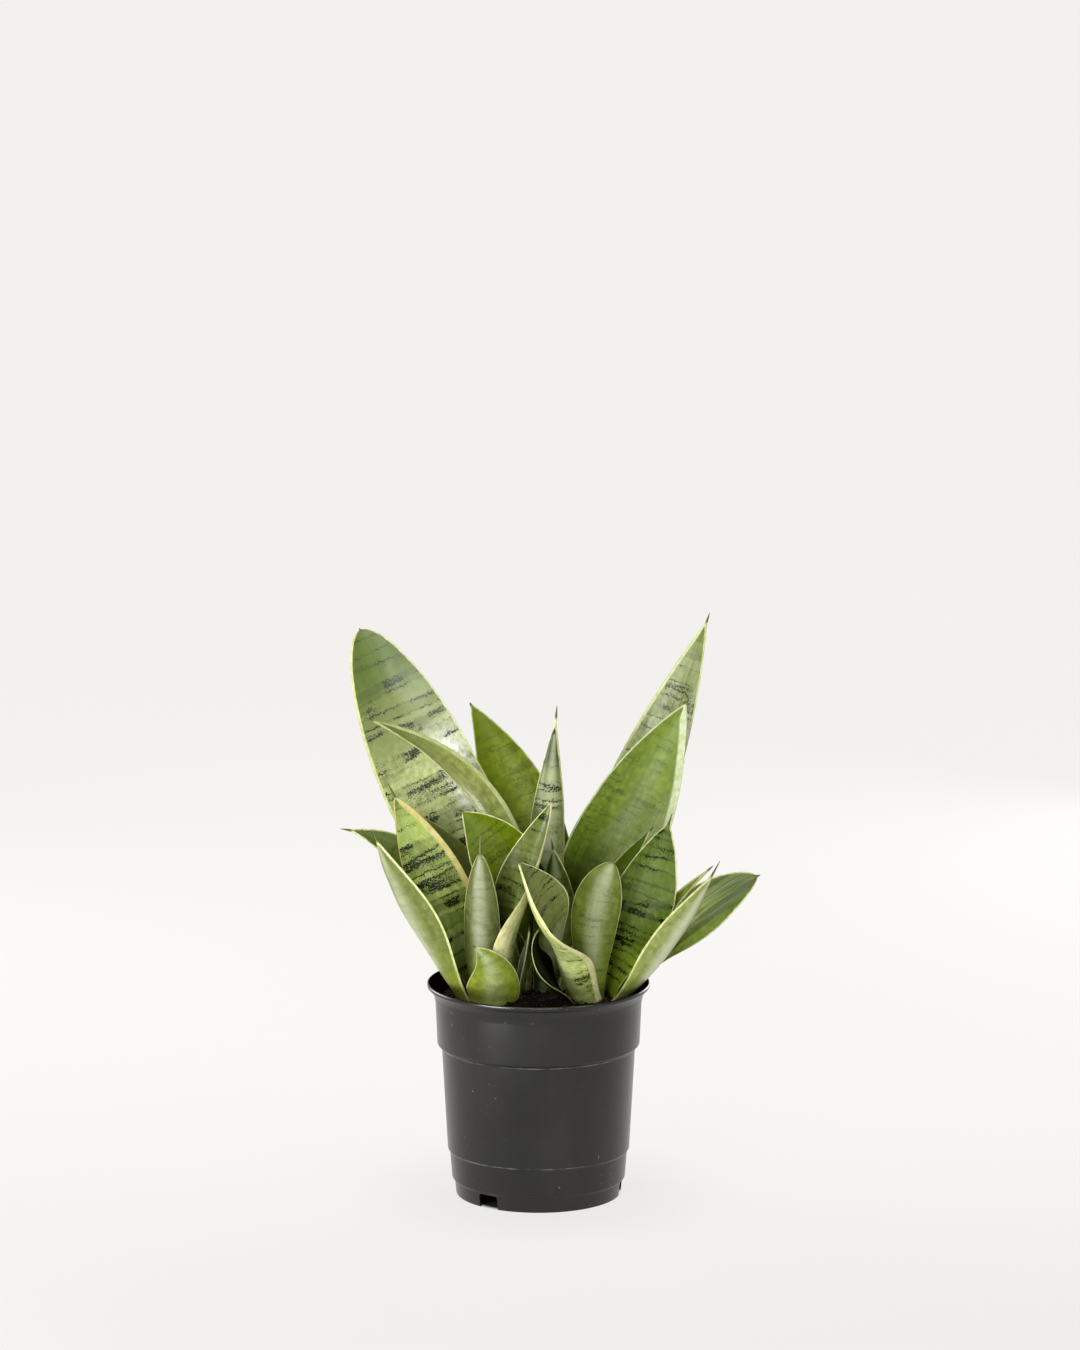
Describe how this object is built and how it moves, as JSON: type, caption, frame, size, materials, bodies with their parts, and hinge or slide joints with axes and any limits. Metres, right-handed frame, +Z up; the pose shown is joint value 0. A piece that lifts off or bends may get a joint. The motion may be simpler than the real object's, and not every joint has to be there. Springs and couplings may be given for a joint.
{
  "type": "potted snake plant",
  "caption": "Bird's-nest snake plant: rosettes of pale, dark-banded leaves with cream margins, in soil in a dark round plastic nursery pot that stands on its base.",
  "frame": {"origin": "centre of the pot's base, on the surface that the pot stands on", "axes": "+Z up along the pot's axis, -Y towards the plant's front, +X to the right as seen from the front"},
  "size_m": [0.2274, 0.1566, 0.3028],
  "materials": {
    "pot": "satin moulded plastic, dark grey",
    "soil": "loose dark brown potting mix",
    "crown": "fibrous pale rootstock",
    "leaf": "waxy leaf, pale green with dark bands and cream margins"
  },
  "bodies": {
    "root": {"pot": "pot", "soil": "soil", "crown_back": "crown", "crown_left": "crown", "crown_right": "crown", "leaf_back_1": "leaf", "leaf_back_2": "leaf", "leaf_back_3": "leaf", "leaf_back_4": "leaf", "leaf_back_5": "leaf", "leaf_back_6": "leaf", "leaf_back_7": "leaf", "leaf_back_8": "leaf", "leaf_back_9": "leaf", "leaf_back_10": "leaf", "leaf_back_11": "leaf", "leaf_back_12": "leaf", "leaf_back_13": "leaf", "leaf_left_1": "leaf", "leaf_left_2": "leaf", "leaf_left_3": "leaf", "leaf_left_4": "leaf", "leaf_left_5": "leaf", "leaf_left_6": "leaf", "leaf_left_7": "leaf", "leaf_left_8": "leaf", "leaf_right_1": "leaf", "leaf_right_2": "leaf", "leaf_right_3": "leaf", "leaf_right_4": "leaf", "leaf_right_5": "leaf", "leaf_right_6": "leaf", "leaf_right_7": "leaf", "leaf_right_8": "leaf"}
  },
  "joints": []
}
